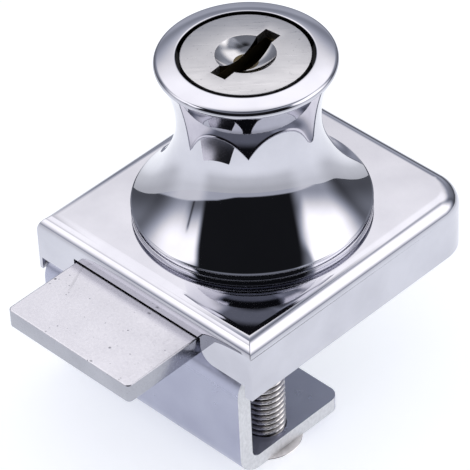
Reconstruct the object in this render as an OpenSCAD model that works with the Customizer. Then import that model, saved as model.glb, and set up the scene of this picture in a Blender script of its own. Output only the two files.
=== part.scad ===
// Lock for a glass cabinet door. A bell with a wafer cylinder stands on a flat cover,
// and a bent bracket with two screws clamps the cover to the edge of the glass.
// Millimetres. The origin is on the key axis, on the face of the pad that lies on the glass.
// +Z runs up the key axis and +X is the way the bolt is thrown.

/* [Cover] */
// Length of the cover, along the bolt
cover_len = 38; // [31:0.5:46]
// Width of the cover, across the bolt
cover_w = 34.6; // [28.8:0.2:42]
// Thickness of the cover's walls
cover_wall = 1.7; // [1.3:0.1:2]
// Thickness of the cover's roof
cover_roof = 1.8; // [1.5:0.1:2.2]
// Radius of the soft top edge
cover_edge_r = 2.2; // [1.2:0.1:2.4]
// Radius of the two rear corners
cover_corner_r = 5; // [3.5:0.1:6]
// How far the key axis stands from the middle of the cover, towards the bolt
axis_shift = 0.7; // [0:0.1:1.2]

/* [Bell] */
// Largest radius of the bell
bell_r = 14.1; // [13.4:0.1:17]
// Height of the bell above the cover
bell_h = 21.9; // [18:0.1:27]
// Wall of the neck around the plug, where it is thinnest
neck_wall = 1.88; // [1.7:0.02:2.3]
// How far the rim stands out from the neck
rim_over = 2.14; // [1.6:0.02:2.6]
// Radius of the rim's rounded edge
rim_lip = 0.6; // [0.4:0.05:0.8]

/* [Cylinder] */
// Radius of the plug
plug_r = 6.4; // [5.6:0.1:7.7]
// Open ring around the plug's face
face_gap = 0.45; // [0.3:0.05:0.5]
// Length of the key slot
key_len = 10; // [8:0.1:10.4]
// Width of the key slot
key_w = 2.1; // [1.6:0.1:2.4]
// Angle of the key slot from the bolt's line
key_turn = 5.5; // [-10:0.5:10]
// Radius of the dish around the key slot
dish_r = 3.5; // [2.5:0.05:4]
// Depth of the dish
dish_depth = 1.3; // [0.6:0.05:1.4]
// Thickness of a wafer
wafer_t = 1.1; // [0.8:0.05:1.3]
// How far a wafer springs out to lock the plug
wafer_lift = 0.8; // [0.5:0.05:0.85]

/* [Bolt] */
// Width of the bolt
bolt_w = 19.7; // [14:0.1:24]
// Thickness of the bolt
bolt_t = 2.5; // [2:0.05:3]
// How far the bolt is thrown
bolt_throw = 10.8; // [8.8:0.1:11]
// How far the bolt lies to the side that the crank pin swings through
bolt_off = 0.9; // [0:0.05:1]

/* [Clamp] */
// Thickness of the bracket's sheet
sheet_t = 1.95; // [1.5:0.05:2.4]
// Width of the bracket's wall and lower flange
bracket_w = 31.6; // [27:0.2:31.6]
// How far the bracket lies to the side, the same way as the bolt
bracket_off = 0.8; // [0:0.05:0.8]
// Height from the cover's underside down to the lower flange
flange_drop = 11.8; // [11.8:0.1:16]
// Length of the lower flange, from the bracket's outer face
flange_len = 16.7; // [14:0.1:20]
// Thickness of the pad under the bracket
pad_t = 0.5; // [0.3:0.05:1]
// Radius of the clamp screws' thread, M5
clamp_r = 2.5; // [2:0.5:3]
// Length of a clamp screw under its head
clamp_len = 10.4; // [9:0.1:10.4]

/* [Hidden] */
$fn = 64;

// Room that a cut runs past the solid it cuts
past = 1;
// Clearance of a turning or sliding fit, on each side
run = 0.05;
// Clearance around pieces that are fixed in a hole
seat = 0.02;
// Clearance of the bolt in its guides
slide = 0.15;
// End play of the plug and of the bolt on the bracket
play = 0.1;

// Heights, from the glass up
crank_air = 0.7;
disc_t = 2.5;
z_case = pad_t;
z_sheet = z_case + sheet_t;
z_bolt = z_sheet + play;
z_bolt_top = z_bolt + bolt_t;
z_disc = z_bolt_top + crank_air;
z_disc_top = z_disc + disc_t;
z_top = z_disc_top + play;
z_roof = z_top - cover_roof;
z_rim = z_top + bell_h;

// Ends and inside of the cover
x_front = cover_len / 2 - axis_shift;
x_rear = -cover_len / 2 - axis_shift;
x_in_front = x_front - cover_wall;
x_in_rear = x_rear + cover_wall;
w_in = cover_w - 2 * cover_wall;
corner_in_r = cover_corner_r - cover_wall;

// Countersunk screws: thread radius and head radius, M2, M2.5 and M3
bell_screw = [1, 1.9];
bracket_screw = [1.25, 2.2];
tail_screw = [1.5, 2.75];
bracket_screw_len = sheet_t + 3;
boss_r = 2.1;
boss_inset = 2.5;
boss_y = w_in / 2 - boss_inset;
boss_x = [x_in_rear + 2.9, x_in_front - 3.6];

// Crank: the pin stands half a throw from the axis and swings through half a turn
crank_r = bolt_throw / 2;
pin_r = 1.5;
disc_r = max(plug_r + 1.5, crank_r + pin_r + 1.1);
well_r = disc_r + 0.35;
tang = 5.4;
tang_h = 1.2;
stop_r = 0.6;
stop_orbit = disc_r - 0.4;
stop_floor = stop_orbit - stop_r - 0.2;
stop_angle = asin((stop_r + run) / stop_orbit);
bell_screw_orbit = well_r + bell_screw[1] + 0.35;
bell_screw_angles = [30, 150, 210, 330];

// Bolt: it lies off the axis, and its width keeps clear of the screw bosses
bolt_room = 2 * (boss_y - boss_r - slide - play - bolt_off);
bolt_wide = min(bolt_w, bolt_room);
bolt_y0 = -bolt_off - bolt_wide / 2;
bolt_y1 = -bolt_off + bolt_wide / 2;
bolt_tip = x_front + bolt_throw + play;
bolt_tail = x_in_rear + bolt_throw + 0.4;
// A steady slide strays this far from the crank pin's own path, as a share of the crank radius
yoke_stray = 0.2105;
slot_half = pin_r + yoke_stray * crank_r + slide;
slot_end = pin_r + 0.25;
rail_t = 1;
rail_lip = 0.7;
notch_r = 2;
window_air = 0.4;
window_top = 0.22;

// Radius of a hollow curve that leaves the neck upright and runs into a round edge of radius r,
// whose middle stands this far out and this far along from where the curve starts
function hollow_r(out, along, r) = (out * out + along * along - r * r) / (2 * (r + out));

// Bell: base ring, groove, sharp foot, hollow flank, narrower waist and neck, flared top and sloping rim
neck_r = plug_r + run + neck_wall;
neck_up = 0.5915 * bell_h;
rim_r = neck_r + rim_over;
head_r = plug_r + 1.5;
ring_h = 0.42;
groove_h = 0.66;
groove_in = 0.4;
ring_edge = 0.12;
foot_t = 0.08;
z_foot = ring_h + groove_h + foot_t;
waist_r = 13.2;
waist_turn = 22;
waist = [neck_r + waist_r * (1 - cos(waist_turn)), neck_up - waist_r * sin(waist_turn)];
foot_turn = 2 * atan2(bell_r - waist[0], waist[1] - z_foot) - waist_turn;
flank_r = (waist[1] - z_foot) / (sin(foot_turn) - sin(waist_turn));
flank_mid = [waist[0] + flank_r * cos(waist_turn), waist[1] + flank_r * sin(waist_turn)];
flank_off = flank_mid[0] - bell_screw_orbit - bell_screw[0];
flank_over = flank_mid[1] - sqrt(flank_r * flank_r - flank_off * flank_off);
bell_screw_len = cover_roof + min(3, flank_over - 0.5);
rim_slope = 5;
lip_x = rim_r - rim_lip;
lip_top_x = lip_x + rim_lip * sin(rim_slope);
lip_top_z = bell_h - (lip_top_x - head_r) * tan(rim_slope);
lip_z = lip_top_z - rim_lip * cos(rim_slope);
flare_r = hollow_r(lip_x - neck_r, lip_z - neck_up, rim_lip);
flare_turn = atan2(lip_z - neck_up, neck_r + flare_r - lip_x);
lip_foot = [lip_x + rim_lip * cos(flare_turn), lip_z - rim_lip * sin(flare_turn)];

// Cylinder head and wafers
head_depth = 1.9;
face_r = head_r - face_gap;
face_t = 1.1;
face_sunk = 0.05;
face_skirt = 0.4;
z_head = z_rim - head_depth;
z_face = z_rim - face_sunk - face_t;
z_key = z_top + 3;
key_side = 0.2;
wafers = 5;
wafer_w = plug_r;
wafer_z0 = z_top + 4.2;
wafer_pitch = (z_head - 2 - wafer_z0) / (wafers - 1);
window_side = 0.2;
lug_half = 0.9;
lug_out = 1.6;
spring_len = 2.5;
spring_r = 0.5;
spring_bore = 0.3;
groove_r = plug_r + 1;
groove_w = wafer_w + 0.6;

// Bracket and clamp screws
bend_in = 1.2;
bend_out = sheet_t + bend_in;
x_bend = x_front - bend_out;
z_flange = z_case - flange_drop;
flange_corner = 1.5;
bracket_wide = min(bracket_w, cover_w - 3);
bracket_y0 = -bracket_off - bracket_wide / 2;
bracket_y1 = -bracket_off + bracket_wide / 2;
bracket_slack = [0.2, 1.2];
clamp_x = x_front - 7.3;
clamp_inset = 3.25;
clamp_head_r = 4.4;
clamp_head_h = 1.8;
z_clamp = z_flange - sheet_t - seat;
hex_across = 3;
hex_depth = 1.2;
tip_t = 0.6;
tip_r = 2.1;
tip_stem_r = 1;
tip_stem = 1.8;
z_tip = z_clamp + clamp_len + seat;

// Flat outline from x0 to x1 with the two rear corners rounded
module rear_round(x0, x1, w, r) {
  translate([x0 + r, -w / 2]) square([x1 - x0 - r, w]);
  translate([x0, -w / 2 + r]) square([r + seat, w - 2 * r]);
  for (side = [-1, 1]) translate([x0 + r, side * (w / 2 - r)]) circle(r);
}

// Upright section with its two upper corners rounded
module loaf(x0, x1, h, r) {
  translate([x0, 0]) square([x1 - x0, h - r]);
  translate([x0 + r, 0]) square([x1 - x0 - 2 * r, h]);
  for (x = [x0 + r, x1 - r]) translate([x, h - r]) circle(r);
}

// Countersunk screw with a crossed slot, head down at the origin and thread upwards
module csk_screw(size, length) {
  head_h = size[1] - size[0];
  slot_w = size[0] * 0.45;
  difference() {
    union() {
      cylinder(h = head_h, r1 = size[1], r2 = size[0]);
      cylinder(h = length, r = size[0]);
    }
    for (turn = [0, 90])
      rotate(turn)
        translate([-size[0], -slot_w / 2, -past])
          cube([2 * size[0], slot_w, past + head_h * 0.7]);
  }
}

// Hole for such a screw
module csk_hole(size, length) {
  head_h = size[1] - size[0];
  translate([0, 0, -past]) cylinder(h = past, r = size[1] + seat);
  cylinder(h = head_h, r1 = size[1] + seat, r2 = size[0] + seat);
  cylinder(h = length + seat, r = size[0] + seat);
}

module at_bell_screws() {
  for (turn = bell_screw_angles)
    rotate(turn) translate([bell_screw_orbit, 0, z_roof]) children();
}

module at_bracket_screws() {
  for (x = boss_x, side = [-1, 1])
    translate([x, side * boss_y, z_case]) children();
}

module at_clamp_screw(side) {
  y = side > 0 ? bracket_y1 - clamp_inset : bracket_y0 + clamp_inset;
  translate([clamp_x, y, 0]) children();
}

// Solid block of the cover: two loaf shapes crossed, and two round rear corners
module cover_block() {
  h = z_top - z_case;
  r = cover_corner_r;
  translate([0, 0, z_case]) {
    difference() {
      intersection() {
        rotate([90, 0, 0])
          linear_extrude(cover_w, center = true) loaf(x_rear, x_front, h, cover_edge_r);
        rotate([90, 0, 90])
          translate([0, 0, x_rear])
            linear_extrude(cover_len) loaf(-cover_w / 2, cover_w / 2, h, cover_edge_r);
      }
      for (side = [-1, 1])
        translate([x_rear + r / 2 - past, side * (cover_w / 2 - r / 2 + past), h / 2])
          cube([r + 2 * past, r + 2 * past, h + 2 * past], center = true);
    }
    for (side = [-1, 1])
      translate([x_rear + r, side * (cover_w / 2 - r), 0])
        rotate(side > 0 ? 90 : 180)
          rotate_extrude(angle = 90)
            intersection() {
              loaf(-r, r, h, cover_edge_r);
              square([r, h]);
            }
  }
}

// Guide rails for the bolt and bosses for the bracket's screws
module cover_guides() {
  lip_z = z_bolt_top + slide;
  for (edge = [[bolt_y0 - slide, -1], [bolt_y1 + slide, 1]]) {
    y = edge[1] > 0 ? edge[0] : edge[0] - rail_t;
    lip_y = edge[1] > 0 ? edge[0] - slide - rail_lip : edge[0];
    translate([x_in_rear, y, z_sheet]) cube([x_in_front - x_in_rear, rail_t, z_roof - z_sheet]);
    translate([x_in_rear, lip_y, lip_z])
      cube([x_in_front - x_in_rear, rail_lip + slide, z_roof - lip_z]);
  }
  for (x = boss_x, side = [-1, 1])
    translate([x, side * boss_y, z_sheet]) cylinder(h = z_roof - z_sheet, r = boss_r);
}

// Opening in the front wall: the bolt's window over the bracket's low, wide one
module cover_window() {
  low_y0 = bracket_y0 - bracket_slack[0];
  low_y1 = bracket_y1 + bracket_slack[1];
  low_z = z_sheet - bend_out + sqrt(bend_out * bend_out - pow(x_in_front - x_bend, 2)) + play;
  y0 = bolt_y0 - window_air;
  y1 = bolt_y1 + window_air;
  x0 = x_bend - 2 * slide;
  translate([x0, low_y0, z_case - past])
    cube([x_in_front - x0, low_y1 - low_y0, z_sheet + play - z_case + past]);
  translate([x0, 0, 0])
    rotate([90, 0, 90])
      linear_extrude(x_front - x_bend + past) {
        translate([low_y0, z_case - past]) square([low_y1 - low_y0, low_z - z_case + past]);
        translate([y0, z_case]) square([y1 - y0, z_bolt_top + window_top - z_case]);
        for (edge = [[y0, -1], [y1, 1]])
          difference() {
            translate([edge[0] - notch_r, low_z - seat]) square([2 * notch_r, notch_r + seat]);
            translate([edge[0] + edge[1] * notch_r, low_z + notch_r]) circle(notch_r);
          }
      }
}

module cover() {
  color("gainsboro")
    difference() {
      union() {
        difference() {
          cover_block();
          translate([0, 0, z_case - past])
            linear_extrude(z_roof - z_case + past)
              rear_round(x_in_rear, x_in_front, w_in, corner_in_r);
        }
        intersection() {
          cover_guides();
          translate([0, 0, z_sheet])
            linear_extrude(z_top) rear_round(x_in_rear, x_in_front, w_in, corner_in_r);
        }
      }
      cover_window();
      translate([0, 0, z_bolt_top + slide]) cylinder(h = z_top, r = well_r);
      at_bell_screws() csk_hole(bell_screw, cover_roof + past);
      at_bracket_screws() csk_hole(bracket_screw, bracket_screw_len);
    }
}

// Half section of the bell's outside, from the cover up
module bell_outline() {
  square([bell_r - ring_edge, ring_h]);
  square([bell_r, ring_h - ring_edge]);
  translate([bell_r - ring_edge, ring_h - ring_edge]) circle(ring_edge);
  square([bell_r - groove_in, z_foot]);
  translate([0, z_foot - foot_t]) square([bell_r, foot_t]);
  difference() {
    polygon([[0, z_foot - seat], [bell_r - groove_in, z_foot - seat], [bell_r, z_foot], waist, [0, waist[1]]]);
    translate(flank_mid) circle(flank_r);
  }
  difference() {
    polygon([[0, waist[1] - seat], [waist[0] - seat, waist[1] - seat], waist, [waist[0], neck_up], [0, neck_up]]);
    translate([neck_r + waist_r, neck_up]) circle(waist_r);
  }
  difference() {
    polygon([[0, neck_up], [lip_foot[0], neck_up], lip_foot, [lip_x, lip_z], [0, lip_z]]);
    translate([neck_r + flare_r, neck_up]) circle(flare_r);
  }
  translate([lip_x, lip_z]) circle(rim_lip);
  polygon([[0, lip_z], [lip_x, lip_z], [lip_top_x, lip_top_z], [head_r, bell_h], [0, bell_h]]);
}

module bell_housing() {
  bore = plug_r + run;
  color("silver")
    difference() {
      translate([0, 0, z_top])
        rotate_extrude()
          difference() {
            intersection() {
              bell_outline();
              square([bell_r, bell_h]);
            }
            translate([-past, -past]) square([bore + past, bell_h + 2 * past]);
            translate([-past, bell_h - head_depth]) square([head_r + past, head_depth + past]);
          }
      rotate(key_turn)
        intersection() {
          translate([0, 0, z_top + 2.5]) cylinder(h = z_head - z_top - 3, r = groove_r);
          translate([-bell_r, -groove_w / 2, z_top]) cube([2 * bell_r, groove_w, bell_h]);
        }
      at_bell_screws() cylinder(h = bell_screw_len + play, r = bell_screw[0] + seat);
      translate([0, stop_orbit, z_top - past]) cylinder(h = past + 3 + play, r = stop_r + seat);
    }
}

module bell_screws() {
  color("dimgray") at_bell_screws() csk_screw(bell_screw, bell_screw_len);
}

// Side view of the bent sheet, drawn with Z as the second axis
module bracket_section() {
  z_low = z_flange - sheet_t;
  translate([x_bend - slide, z_case]) square([slide, sheet_t]);
  translate([x_front - sheet_t, z_low + bend_out])
    square([sheet_t, z_sheet - z_low - 2 * bend_out]);
  translate([x_front - flange_len, z_low]) square([flange_len - bend_out, sheet_t]);
  for (bend = [[z_sheet - bend_out, 0], [z_low + bend_out, -bend_out]])
    translate([x_bend, bend[0]])
      intersection() {
        difference() {
          circle(bend_out);
          circle(bend_in);
        }
        translate([0, bend[1]]) square(bend_out);
      }
}

module clamp_bracket() {
  r = flange_corner;
  color("lightsteelblue")
    difference() {
      union() {
        translate([0, bracket_y1, 0])
          rotate([90, 0, 0])
            linear_extrude(bracket_wide) bracket_section();
        translate([0, 0, z_case])
          linear_extrude(sheet_t)
            rear_round(x_in_rear + slide, x_bend, w_in - 2 * slide, corner_in_r - slide);
      }
      at_bracket_screws() csk_hole(bracket_screw, bracket_screw_len);
      for (side = [-1, 1]) {
        at_clamp_screw(side)
          translate([0, 0, z_flange - sheet_t - past])
            cylinder(h = sheet_t + 2 * past, r = clamp_r + run);
        translate([x_front - flange_len, side > 0 ? bracket_y1 : bracket_y0, z_flange - sheet_t - past])
          linear_extrude(sheet_t + 2 * past)
            difference() {
              square(2 * r, center = true);
              translate([r, -side * r]) circle(r);
            }
      }
    }
}

module bracket_screws() {
  color("dimgray") at_bracket_screws() csk_screw(bracket_screw, bracket_screw_len);
}

module turn_stop_pin() {
  color("gray")
    translate([0, stop_orbit, z_disc + play]) cylinder(h = z_top + 3 - z_disc - play, r = stop_r);
}

module glass_pad() {
  inset = 1.6;
  color("darkslategray")
    linear_extrude(pad_t)
      rear_round(x_in_rear + inset, x_bend - 1, w_in - 2 * inset, corner_in_r - slide);
}

// Slot and spring pocket for one wafer, about the plug's axis
module wafer_slot() {
  slot_w = wafer_w + 2 * run;
  pocket_x = -lug_half - spring_len - 2 * run;
  translate([-plug_r - past, -slot_w / 2, -run])
    cube([2 * (plug_r + past), slot_w, wafer_t + 2 * run]);
  translate([pocket_x, -wafer_w / 2 - lug_out - run, -run])
    cube([lug_half + wafer_lift + run - pocket_x, lug_out + 2 * run, wafer_t + 2 * run]);
}

// Every other wafer is turned round, so that they lock to both sides
module at_wafer(i) {
  translate([0, 0, wafer_z0 + i * wafer_pitch]) rotate(key_turn + i % 2 * 180) children();
}

module dish() {
  ball_r = (pow(dish_r, 2) + pow(dish_depth, 2)) / (2 * dish_depth);
  translate([0, 0, z_rim - face_sunk + ball_r - dish_depth]) sphere(ball_r);
}

module plug() {
  in_len = key_len - 2 * key_side;
  tail_len = z_key - 0.6 - z_disc;
  color("darkkhaki")
    difference() {
      union() {
        translate([0, 0, z_disc_top]) cylinder(h = z_face - z_disc_top, r = plug_r);
        translate([0, 0, z_head + play]) cylinder(h = z_face - z_head - play, r = face_r - face_skirt);
        translate([-tang / 2, -tang / 2, z_disc_top - tang_h]) cube([tang, tang, tang_h + past]);
      }
      rotate(key_turn)
        translate([-in_len / 2, -key_w / 2, z_key]) cube([in_len, key_w, bell_h]);
      for (i = [0 : wafers - 1]) at_wafer(i) wafer_slot();
      dish();
      translate([0, 0, z_disc]) cylinder(h = tail_len + play, r = tail_screw[0] + seat);
    }
}

module plug_face() {
  z_skirt = z_head + play + run;
  color("whitesmoke")
    difference() {
      translate([0, 0, z_skirt]) cylinder(h = z_face + face_t - z_skirt, r = face_r);
      translate([0, 0, z_skirt - past])
        cylinder(h = z_face - z_skirt + past, r = face_r - face_skirt + seat);
      rotate(key_turn)
        translate([-key_len / 2, -key_w / 2, z_skirt]) cube([key_len, key_w, bell_h]);
      dish();
    }
}

module crank_disc() {
  hole = tang + 2 * seat;
  color("slategray")
    difference() {
      translate([0, 0, z_disc]) cylinder(h = disc_t, r = disc_r);
      translate([-hole / 2, -hole / 2, z_disc_top - tang_h - seat])
        cube([hole, hole, tang_h + past]);
      translate([crank_r, 0, z_disc - past]) cylinder(h = disc_t + 2 * past, r = pin_r + seat);
      translate([0, 0, z_disc]) csk_hole(tail_screw, disc_t);
      rotate(90 - stop_angle)
        rotate_extrude(angle = 180 + 2 * stop_angle)
          translate([stop_floor, z_disc - past])
            square([disc_r - stop_floor + past, disc_t + 2 * past]);
    }
}

module crank_pin() {
  color("gray")
    translate([crank_r, 0, z_sheet + slide]) cylinder(h = z_disc_top - seat - z_sheet - slide, r = pin_r);
}

module crank_screw() {
  color("dimgray") translate([0, 0, z_disc]) csk_screw(tail_screw, z_key - 0.6 - z_disc);
}

module wafer(i) {
  window_len = key_len - 2 * key_side + 2 * window_side;
  window_w = key_w + 2 * window_side;
  color("goldenrod")
    at_wafer(i)
      linear_extrude(wafer_t)
        difference() {
          union() {
            intersection() {
              circle(plug_r - run);
              square([2 * plug_r, wafer_w], center = true);
            }
            translate([-lug_half, -wafer_w / 2 - lug_out]) square([2 * lug_half, lug_out + past]);
          }
          square([window_len, window_w], center = true);
        }
}

module wafer_spring(i) {
  color("lightgray")
    at_wafer(i)
      translate([-lug_half - run - spring_len, -wafer_w / 2 - lug_out / 2, wafer_t / 2])
        rotate([0, 90, 0])
          difference() {
            cylinder(h = spring_len, r = spring_r);
            translate([0, 0, -past]) cylinder(h = spring_len + 2 * past, r = spring_bore);
          }
}

module bolt() {
  tip_corner = 0.6;
  len = bolt_tip - bolt_tail;
  color("silver")
    translate([0, 0, z_bolt])
      linear_extrude(bolt_t)
        difference() {
          union() {
            translate([bolt_tail, bolt_y0]) square([len - tip_corner, bolt_wide]);
            translate([bolt_tail, bolt_y0 + tip_corner]) square([len, bolt_wide - 2 * tip_corner]);
            for (y = [bolt_y0 + tip_corner, bolt_y1 - tip_corner])
              translate([bolt_tip - tip_corner, y]) circle(tip_corner);
          }
          translate([crank_r - slot_half, -crank_r - slot_end])
            square([2 * slot_half, crank_r + 2 * slot_end]);
        }
}

module screw_tip(side) {
  color("ivory")
    at_clamp_screw(side) {
      translate([0, 0, z_tip]) cylinder(h = tip_t, r = tip_r);
      translate([0, 0, z_tip - tip_stem]) cylinder(h = tip_stem + seat, r = tip_stem_r);
    }
}

module clamp_screw(side) {
  ball_r = (pow(clamp_head_r, 2) + pow(clamp_head_h, 2)) / (2 * clamp_head_h);
  hex_r = hex_across / (2 * cos(30));
  color("dimgray")
    at_clamp_screw(side)
      difference() {
        translate([0, 0, z_clamp])
          rotate_extrude() {
            square([clamp_r, clamp_len]);
            intersection() {
              translate([0, ball_r - clamp_head_h]) circle(ball_r);
              translate([0, -clamp_head_h]) square([clamp_head_r, clamp_head_h]);
            }
          }
        translate([0, 0, z_clamp - clamp_head_h - past])
          linear_extrude(past + hex_depth)
            polygon([for (i = [0 : 5]) hex_r * [cos(60 * i), sin(60 * i)]]);
        translate([0, 0, z_tip - tip_stem - play])
          cylinder(h = tip_stem + past, r = tip_stem_r + run);
      }
}

cover();
bell_housing();
bell_screws();
clamp_bracket();
bracket_screws();
turn_stop_pin();
glass_pad();
plug();
plug_face();
crank_disc();
crank_pin();
crank_screw();
wafer(0);  // wafer_1
wafer(1);  // wafer_2
wafer(2);  // wafer_3
wafer(3);  // wafer_4
wafer(4);  // wafer_5
wafer_spring(0);  // wafer_spring_1
wafer_spring(1);  // wafer_spring_2
wafer_spring(2);  // wafer_spring_3
wafer_spring(3);  // wafer_spring_4
wafer_spring(4);  // wafer_spring_5
bolt();
screw_tip(1);  // screw_tip_1
screw_tip(-1);  // screw_tip_2
clamp_screw(1);  // clamp_screw_1
clamp_screw(-1);  // clamp_screw_2
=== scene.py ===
import math

import bmesh
import bpy
from mathutils import Matrix, Vector


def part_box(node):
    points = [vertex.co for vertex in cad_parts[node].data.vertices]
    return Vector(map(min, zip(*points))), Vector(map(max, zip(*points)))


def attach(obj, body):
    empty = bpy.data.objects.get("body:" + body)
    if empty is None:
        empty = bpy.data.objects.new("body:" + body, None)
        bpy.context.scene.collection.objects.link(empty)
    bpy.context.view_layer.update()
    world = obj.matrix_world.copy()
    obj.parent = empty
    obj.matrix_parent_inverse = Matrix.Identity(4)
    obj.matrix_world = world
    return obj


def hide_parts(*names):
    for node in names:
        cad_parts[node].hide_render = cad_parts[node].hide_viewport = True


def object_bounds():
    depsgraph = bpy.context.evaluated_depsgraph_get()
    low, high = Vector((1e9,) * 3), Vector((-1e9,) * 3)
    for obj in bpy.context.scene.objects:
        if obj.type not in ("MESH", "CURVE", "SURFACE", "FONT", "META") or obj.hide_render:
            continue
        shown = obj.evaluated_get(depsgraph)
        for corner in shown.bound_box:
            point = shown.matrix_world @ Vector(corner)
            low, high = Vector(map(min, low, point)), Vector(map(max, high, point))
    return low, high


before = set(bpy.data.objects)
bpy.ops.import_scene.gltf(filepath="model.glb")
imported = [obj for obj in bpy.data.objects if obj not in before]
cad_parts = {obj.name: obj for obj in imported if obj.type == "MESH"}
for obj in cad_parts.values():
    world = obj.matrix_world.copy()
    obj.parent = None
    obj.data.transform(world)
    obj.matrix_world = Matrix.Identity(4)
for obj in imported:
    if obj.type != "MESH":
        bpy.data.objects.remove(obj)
cad_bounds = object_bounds()

MM = 0.001
TAU = 2 * math.pi


# Sizes read from the frame, in millimetres
def box_mm(node):
    low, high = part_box(node)
    return low / MM, high / MM


cover_lo, cover_hi = box_mm("cover")
bell_lo, bell_hi = box_mm("bell_housing")
face_lo, face_hi = box_mm("plug_face")
object_lo = cad_bounds[0] / MM

# Bell, measured up from the cover
BELL_R = bell_hi.x
BELL_H = bell_hi.z - bell_lo.z
PLUG_R = 6.4
BORE_R = PLUG_R + 0.05
NECK_R = BORE_R + 1.88
NECK_UP = 0.5915 * BELL_H
RIM_R = NECK_R + 2.14
RIM_LIP = 0.6
RIM_SLOPES = (math.radians(3), math.radians(14))
HEAD_R = PLUG_R + 1.5
HEAD_DEPTH = 1.9
HEAD_EDGE = 0.12
RING_H = 0.42
RING_EDGE = 0.12
GROOVE_R = BELL_R - 0.4
GROOVE_EDGE = 0.05
FOOT_Z = RING_H + 0.74
FOOT_EDGE = 0.07
WAIST_R = 13.2
WAIST_TURN = 22
BELL_SIDES = 288

# Face of the plug, and the groove in the bell's bore that its wafers slide into
KEY_TURN = math.radians(5.5)
KEY_LEN = 10.0
KEY_W = 2.1
KEY_CUT_DEPTH = 3
DISH_R = 3.5
DISH_DEPTH = 1.3
FACE_T = 1.1
FACE_EDGE = 0.14
SKIRT_T = 0.38
WAFER_ROOM_R = PLUG_R + 1
WAFER_ROOM_HALF = PLUG_R / 2 + 0.3
WAFER_ROOM_FROM = 2.5
WAFER_ROOM_TO = BELL_H - HEAD_DEPTH - 0.5
AXIS_R = 0.01

# Slot in the bolt, around the crank pin's path
CRANK_R = 5.4
SLOT_HALF = 1.5 + 0.2105 * CRANK_R + 0.15
SLOT_END = 1.75

# Clamp screws, M5
THREAD_PITCH = 0.8
THREAD_DEPTH = 0.46
THREAD_R = 2.5
SCREW_HEAD_R = 4.4
SCREW_HEAD_H = 1.8
SCREW_HEAD_EDGE = 0.05
HEX_ACROSS = 3.0
HEX_DEPTH = 1.2
HEX_LIP = 0.12
TIP_BORE_R = 1.05
TIP_BORE_DEPTH = 1.8
POINT_LEN = 0.55
CREST_FLAT = 0.12
THREAD_FLANK = 0.64
THREAD_RUNOUT = 0.5
SCREW_SIDES = 72
ROWS_PER_TURN = 14
DOME_STEPS = 14

# Wafer springs
WIRE_R = 0.09
SPRING_R = 0.5
SPRING_TURNS = 7
STEPS_PER_TURN = 20
WIRE_SIDES = 8

# Bolt
BOLT_EDGE = 0.16
BOLT_TAIL_R = 0.3
BOLT_TIP_R = 0.6

# Tones, darker and paler
CHROME = ((0.555, 0.555, 0.605), (0.615, 0.615, 0.665))
# Near-black painted shade for the bell's bore and face recess
SHADE_INSIDE = ((0.02, 0.02, 0.022), (0.04, 0.04, 0.044))
SATIN = ((0.53, 0.525, 0.54), (0.59, 0.585, 0.60))
SATIN_SPECK = ((0.36, 0.355, 0.375), (0.42, 0.415, 0.43))
# Bolt: upward faces painted paler as lit, upright sides painted darker as shade
CAST_TOP_LIT = ((0.57, 0.565, 0.61), (0.61, 0.605, 0.65))
CAST_SIDE_SHADED = ((0.39, 0.395, 0.435), (0.44, 0.445, 0.485))
CAST_PIT = ((0.13, 0.13, 0.145), (0.2, 0.2, 0.22))
SHEET_FACE = ((0.41, 0.425, 0.54), (0.47, 0.485, 0.60))
SHEET_TORN = ((0.64, 0.645, 0.67), (0.82, 0.825, 0.85))
# Plug brass darkened almost to black as painted shade, so the key slot looks dark inside
PLUG_BRASS_SHADED = ((0.10, 0.08, 0.045), (0.16, 0.13, 0.07))
# Wafer brass darkened as painted shade, so the key slot looks dark inside
WAFER_BRASS_SHADED = ((0.16, 0.125, 0.06), (0.24, 0.19, 0.09))
INNER_STEEL = ((0.48, 0.48, 0.50), (0.58, 0.58, 0.60))
SCREW_STEEL = ((0.42, 0.42, 0.44), (0.52, 0.52, 0.54))
# From near-black painted shade to pale painted highlight, for the clamp screws
CLAMP_STEEL = ((0.04, 0.036, 0.036), (0.78, 0.75, 0.74))
PAD_RUBBER = ((0.74, 0.77, 0.78), (0.82, 0.85, 0.86))
TIP_NYLON = ((0.72, 0.70, 0.63), (0.80, 0.78, 0.71))


# Shader building blocks
def add(tree, kind, inputs=None, **props):
    node = tree.nodes.new("ShaderNode" + kind)
    for key, value in props.items():
        setattr(node, key, value)
    for key, value in (inputs or {}).items():
        if isinstance(value, bpy.types.NodeSocket):
            tree.links.new(value, node.inputs[key])
        else:
            node.inputs[key].default_value = value
    return node


def new_material(name, **constants):
    material = bpy.data.materials.new(name)
    material.use_nodes = True
    bsdf = material.node_tree.nodes["Principled BSDF"]
    for key, value in constants.items():
        bsdf.inputs[key.replace("_", " ")].default_value = value
    return material, material.node_tree, bsdf


def place(tree, stretch=(1, 1, 1), turn=0.0):
    coords = add(tree, "TexCoord").outputs["Object"]
    turned = add(tree, "Mapping", {"Vector": coords, "Rotation": (0, 0, turn)}, vector_type="TEXTURE")
    mapped = add(tree, "Mapping", {"Vector": turned.outputs["Vector"], "Scale": stretch})
    return mapped.outputs["Vector"]


def grain(tree, per_metre, detail=3.0, roughness=0.5, stretch=(1, 1, 1), turn=0.0):
    inputs = {"Vector": place(tree, stretch, turn), "Scale": per_metre}
    inputs.update({"Detail": detail, "Roughness": roughness})
    return add(tree, "TexNoise", inputs).outputs["Fac"]


def spread(tree, value, low, high, start=0.3, end=0.7):
    inputs = {"Value": value, "From Min": start, "From Max": end, "To Min": low, "To Max": high}
    return add(tree, "MapRange", inputs).outputs["Result"]


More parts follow.
